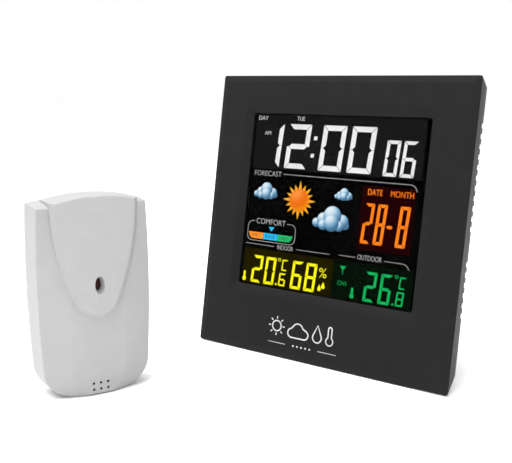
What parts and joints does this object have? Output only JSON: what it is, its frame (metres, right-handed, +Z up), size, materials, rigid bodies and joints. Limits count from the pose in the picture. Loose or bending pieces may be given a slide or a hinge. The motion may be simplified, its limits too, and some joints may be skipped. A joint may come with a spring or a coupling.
{
  "type": "home weather station",
  "caption": "Square colour-display home weather station that leans on a fold-out rear stand, with its wireless outdoor temperature and humidity sensor standing beside it.",
  "frame": {"origin": "middle of the rubber foot strip under the display's front lower edge, on the table", "axes": "+Z up, the display faces -Y and leans back towards +Y, +X to the display's right as it is read"},
  "size_m": [0.18, 0.1988, 0.1626],
  "materials": {
    "black_abs": "fine matt",
    "white_abs": "satin",
    "black_rubber": "matt",
    "clear_lens": "clear",
    "eye_plastic": "clear dark red",
    "black_tape": "matt",
    "lcd_glass": "polished",
    "acrylic": "clear",
    "white_film": "white",
    "circuit_board": "lacquered",
    "chip_black": "matt",
    "copper_wire": "enamelled",
    "lamp_red": "clear red",
    "steel": "zinc plated",
    "cell_jacket": "printed sleeve"
  },
  "bodies": {
    "display_unit": {"front_frame": "black_abs", "rear_cover": "black_abs", "wall_hanger": "black_abs", "foot_strip": "black_rubber", "contact_strip": "black_rubber", "display_lens": "clear_lens", "lens_tape": "black_tape", "lcd_bracket": "black_tape", "lcd_panel": "lcd_glass", "light_guide": "acrylic", "reflector": "white_film", "backlight_strip": "circuit_board", "main_board": "circuit_board", "radio_module": "circuit_board", "climate_sensor": "circuit_board", "processor": "chip_black", "buzzer": "chip_black", "key_switches": "chip_black", "snooze_switch": "chip_black", "power_socket": "chip_black", "radio_antenna": "copper_wire", "housing_screws": "steel", "stand_pin": "steel", "board_screws": "steel", "clock_crystal": "steel", "battery_springs": "steel", "battery_contacts": "steel", "cell_1": "cell_jacket", "cell_2": "cell_jacket", "cell_3": "cell_jacket"},
    "stand": {"stand_leg": "black_abs", "stand_foot": "black_rubber"},
    "outdoor_sensor": {"sensor_front": "white_abs", "sensor_rear": "white_abs", "sensor_hanger": "white_abs", "eye_lens": "eye_plastic", "sensor_board": "circuit_board", "sensor_radio": "circuit_board", "switch_board": "circuit_board", "sensor_chip": "chip_black", "selector_switch": "chip_black", "reset_switch": "chip_black", "thermistor": "chip_black", "sensor_antenna": "copper_wire", "signal_lamp": "lamp_red", "sensor_screws": "steel", "sensor_springs": "steel", "sensor_contacts": "steel", "sensor_cell_1": "cell_jacket", "sensor_cell_2": "cell_jacket"},
    "mode_key_body": {"mode_key": "black_abs"},
    "up_key_body": {"up_key": "black_abs"},
    "down_key_body": {"down_key": "black_abs"},
    "channel_key_body": {"channel_key": "black_abs"},
    "alarm_key_body": {"alarm_key": "black_abs"},
    "snooze_bar_body": {"snooze_bar": "black_abs"},
    "battery_door_body": {"battery_door": "black_abs"},
    "sensor_lid_body": {"sensor_lid": "white_abs"},
    "channel_knob_body": {"channel_knob": "white_abs"},
    "reset_key_body": {"reset_key": "white_abs"}
  },
  "joints": [
    {"name": "stand_fold", "type": "hinge", "parent": "display_unit", "child": "stand", "pos_m": [0, 0.02309, 0.01991], "axis": [1, 0, 0], "range_deg": [0, 101.5]},
    {"name": "battery_door_off", "type": "slide", "parent": "display_unit", "child": "battery_door_body", "axis": [0, 0.9858, -0.168], "range_m": [0, 0.04]},
    {"name": "snooze_press", "type": "slide", "parent": "display_unit", "child": "snooze_bar_body", "axis": [0, -0.168, -0.9858], "range_m": [0, 0.0008], "stiffness_N_per_m": 600, "springref_m": -0.001},
    {"name": "mode_press", "type": "slide", "parent": "display_unit", "child": "mode_key_body", "axis": [0, -0.9858, 0.168], "range_m": [0, 0.0008], "stiffness_N_per_m": 400, "springref_m": -0.001},
    {"name": "up_press", "type": "slide", "parent": "display_unit", "child": "up_key_body", "axis": [0, -0.9858, 0.168], "range_m": [0, 0.0008], "stiffness_N_per_m": 400, "springref_m": -0.001},
    {"name": "down_press", "type": "slide", "parent": "display_unit", "child": "down_key_body", "axis": [0, -0.9858, 0.168], "range_m": [0, 0.0008], "stiffness_N_per_m": 400, "springref_m": -0.001},
    {"name": "channel_press", "type": "slide", "parent": "display_unit", "child": "channel_key_body", "axis": [0, -0.9858, 0.168], "range_m": [0, 0.0008], "stiffness_N_per_m": 400, "springref_m": -0.001},
    {"name": "alarm_press", "type": "slide", "parent": "display_unit", "child": "alarm_key_body", "axis": [0, -0.9858, 0.168], "range_m": [0, 0.0008], "stiffness_N_per_m": 400, "springref_m": -0.001},
    {"name": "sensor_place", "type": "slide", "parent": "display_unit", "child": "outdoor_sensor", "axis": [-1, 0, 0], "range_m": [0, 0.25]},
    {"name": "sensor_lid_off", "type": "slide", "parent": "outdoor_sensor", "child": "sensor_lid_body", "axis": [-0.9171, 0.3987, 0], "range_m": [0, 0.04]},
    {"name": "channel_select", "type": "slide", "parent": "outdoor_sensor", "child": "channel_knob_body", "axis": [0.3987, 0.9171, 0], "range_m": [0, 0.006]},
    {"name": "reset_press", "type": "slide", "parent": "outdoor_sensor", "child": "reset_key_body", "axis": [0.9171, -0.3987, 0], "range_m": [0, 0.0006], "stiffness_N_per_m": 400, "springref_m": -0.001}
  ]
}
